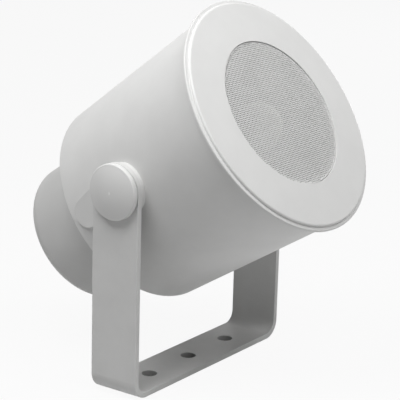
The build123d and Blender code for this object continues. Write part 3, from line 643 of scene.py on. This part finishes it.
def make_surround():
    """Half-roll rubber edge with a flat flange outside and a flat land on the cone inside."""
    low, high = head_box("cone_surround")
    middle = (SURROUND_OUTER + SURROUND_INNER) / 2
    roll = (SURROUND_OUTER - SURROUND_INNER) / 2
    outside = roll + SURROUND_SKIN / 2
    inside = roll - SURROUND_SKIN / 2
    flat = low.z + SURROUND_SKIN
    upper = [(high.x, flat)]
    lower = [(high.x, low.z)]
    for k in range(2 * WAVE_STEPS + 1):
        turn = pi * k / (2 * WAVE_STEPS)
        upper.append((middle + outside * cos(turn), max(low.z + outside * sin(turn), flat)))
        lower.append((middle + inside * cos(turn), low.z + inside * sin(turn)))
    land = SURROUND_INNER - LAND_WIDTH
    profile = upper + [(land, flat), (land, low.z)] + lower[::-1]
    make_sectors("surround_sector", "cone_surround", profile)


def make_spider():
    """Corrugated cloth disc from its flat edge on the shelf to its collar on the coil."""
    low, high = head_box("spider")
    lower = [(high.x, low.z), (SPIDER_CLAMP + SPIDER_SKIN, low.z)]
    steps = WAVE_STEPS * SPIDER_WAVES
    for k in range(steps + 1):
        radius = SPIDER_CLAMP + (SPIDER_COLLAR - SPIDER_CLAMP) * k / steps
        lift = SPIDER_WAVE_HEIGHT * (1 - sin(2 * pi * SPIDER_WAVES * k / steps))
        lower.append((radius, low.z + lift))
    lower.append((COIL_BORE, low.z + SPIDER_WAVE_HEIGHT))
    upper = [(radius, height + SPIDER_SKIN) for radius, height in reversed(lower)]
    make_sectors("spider_sector", "spider", lower + upper)


make_grille()
make_dust_cap()
make_surround()
make_spider()

# Stage
BACKDROP = "#FFFFFF"
FLOOR_RADIUS = 6.0
FLOOR_SIDES = 64
FLOOR_DROP = 0.05 * MM
FLOOR_PAINT = "#CACACA"
FLOOR_WHITENESS = 0.93  # the rest of what the camera sees of the floor is its paint and shadow
# The dark sheet under the bracket's base is painted shade
SHADE_SHEET_INSET = 20.0 * MM
SHADE_SHEET_DROP = 0.02 * MM


def shows_backdrop(tree):
    """1 for the rays that see the backdrop itself, straight or in a shiny or clear surface."""
    seen = add(tree, "ShaderNodeLightPath", output="Is Camera Ray")
    path = seen.node
    for ray in ("Is Glossy Ray", "Is Transmission Ray"):
        seen = add(tree, "ShaderNodeMath", {0: seen, 1: path.outputs[ray]}, operation="MAXIMUM")
    return seen


def make_world():
    """White round the object for the rays that see it, and no light from it for the others."""
    world = bpy.data.worlds.new("world")
    bpy.context.scene.world = world
    world.use_nodes = True
    tree = world.node_tree
    unlit = tree.nodes["Background"]
    unlit.inputs["Strength"].default_value = 0.0
    shown = add(tree, "ShaderNodeBackground", {"Color": linear(BACKDROP), "Strength": 1.0})
    inputs = {0: shows_backdrop(tree), 1: unlit.outputs[0], 2: shown}
    mix = add(tree, "ShaderNodeMixShader", inputs)
    tree.links.new(mix, tree.nodes["World Output"].inputs["Surface"])


def matt_white_card(name):
    """Card in matt pale paint: quite dull, so that it shows only the object's soft shadow. The
    rays that see it get most of the backdrop's white instead."""
    material = bpy.data.materials.new(name)
    material.use_nodes = True
    tree = material.node_tree
    tree.nodes.remove(tree.nodes["Principled BSDF"])
    paint = add(tree, "ShaderNodeBsdfDiffuse", {"Color": linear(FLOOR_PAINT)})
    glow = add(tree, "ShaderNodeEmission", {"Color": linear(BACKDROP), "Strength": 1.0})
    inputs = {0: shows_backdrop(tree), 1: FLOOR_WHITENESS}
    share = add(tree, "ShaderNodeMath", inputs, operation="MULTIPLY")
    mix = add(tree, "ShaderNodeMixShader", {0: share, 1: paint, 2: glow})
    tree.links.new(mix, tree.nodes["Material Output"].inputs["Surface"])
    return material


def make_floor():
    """Pale floor that looks white and keeps a faint shadow of the object."""
    mesh = bmesh.new()
    bmesh.ops.create_circle(mesh, cap_ends=True, segments=FLOOR_SIDES, radius=FLOOR_RADIUS)
    bmesh.ops.translate(mesh, verts=mesh.verts, vec=(0, 0, cad_low.z - FLOOR_DROP))
    floor = mesh_object("floor", mesh)
    floor.data.materials.append(matt_white_card("matt_white_floor"))


def make_painted_shade_sheet():
    """Dark sheet under the bracket's base, hidden by it: painted shade that makes the three holes look dark."""
    low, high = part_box("mounting_bracket")
    middle = (Vector(low) + Vector(high)) / 2
    size = (high[0] - low[0] - 2 * SHADE_SHEET_INSET, high[1] - low[1] - SHADE_SHEET_INSET / 2, 1.0)
    mesh = bmesh.new()
    bmesh.ops.create_grid(mesh, x_segments=1, y_segments=1, size=0.5)
    bmesh.ops.scale(mesh, vec=size, verts=mesh.verts)
    bmesh.ops.translate(mesh, verts=mesh.verts, vec=(middle.x, middle.y, low[2] - SHADE_SHEET_DROP))
    shade_sheet = mesh_object("painted_shade_sheet", mesh)
    # Painted shade: near-black rubber colour standing for the shade under the base
    shade_sheet.data.materials.append(moulded_rubber("painted_shade_black", "#161616", "#1E1E1E"))


def make_lamp(name, azimuth, elevation, distance, size, power):
    """Soft square lamp, aimed at the middle of the object."""
    a = radians(azimuth)
    e = radians(elevation)
    middle = (cad_low + cad_high) / 2
    away = Vector((sin(a) * cos(e), -cos(a) * cos(e), sin(e)))
    data = bpy.data.lights.new(name, "AREA")
    data.size = size
    data.energy = power
    lamp = bpy.data.objects.new(name, data)
    bpy.context.scene.collection.objects.link(lamp)
    turn = away.to_track_quat("Z", "Y").to_matrix().to_4x4()
    lamp.matrix_world = Matrix.Translation(middle + away * distance) @ turn


make_camera()
make_world()
make_floor()
# Painted shade under the bracket's base
make_painted_shade_sheet()
make_lamp("key_lamp", azimuth=-100, elevation=62, distance=0.7, size=0.4, power=4.0)
make_lamp("front_lamp", azimuth=0, elevation=60, distance=1.1, size=0.6, power=6.0)
make_lamp("low_lamp", azimuth=-5, elevation=8, distance=1.6, size=0.9, power=3.0)
make_lamp("side_lamp", azimuth=92, elevation=8, distance=1.6, size=0.4, power=5.0)
bpy.context.scene.view_settings.view_transform = "Standard"
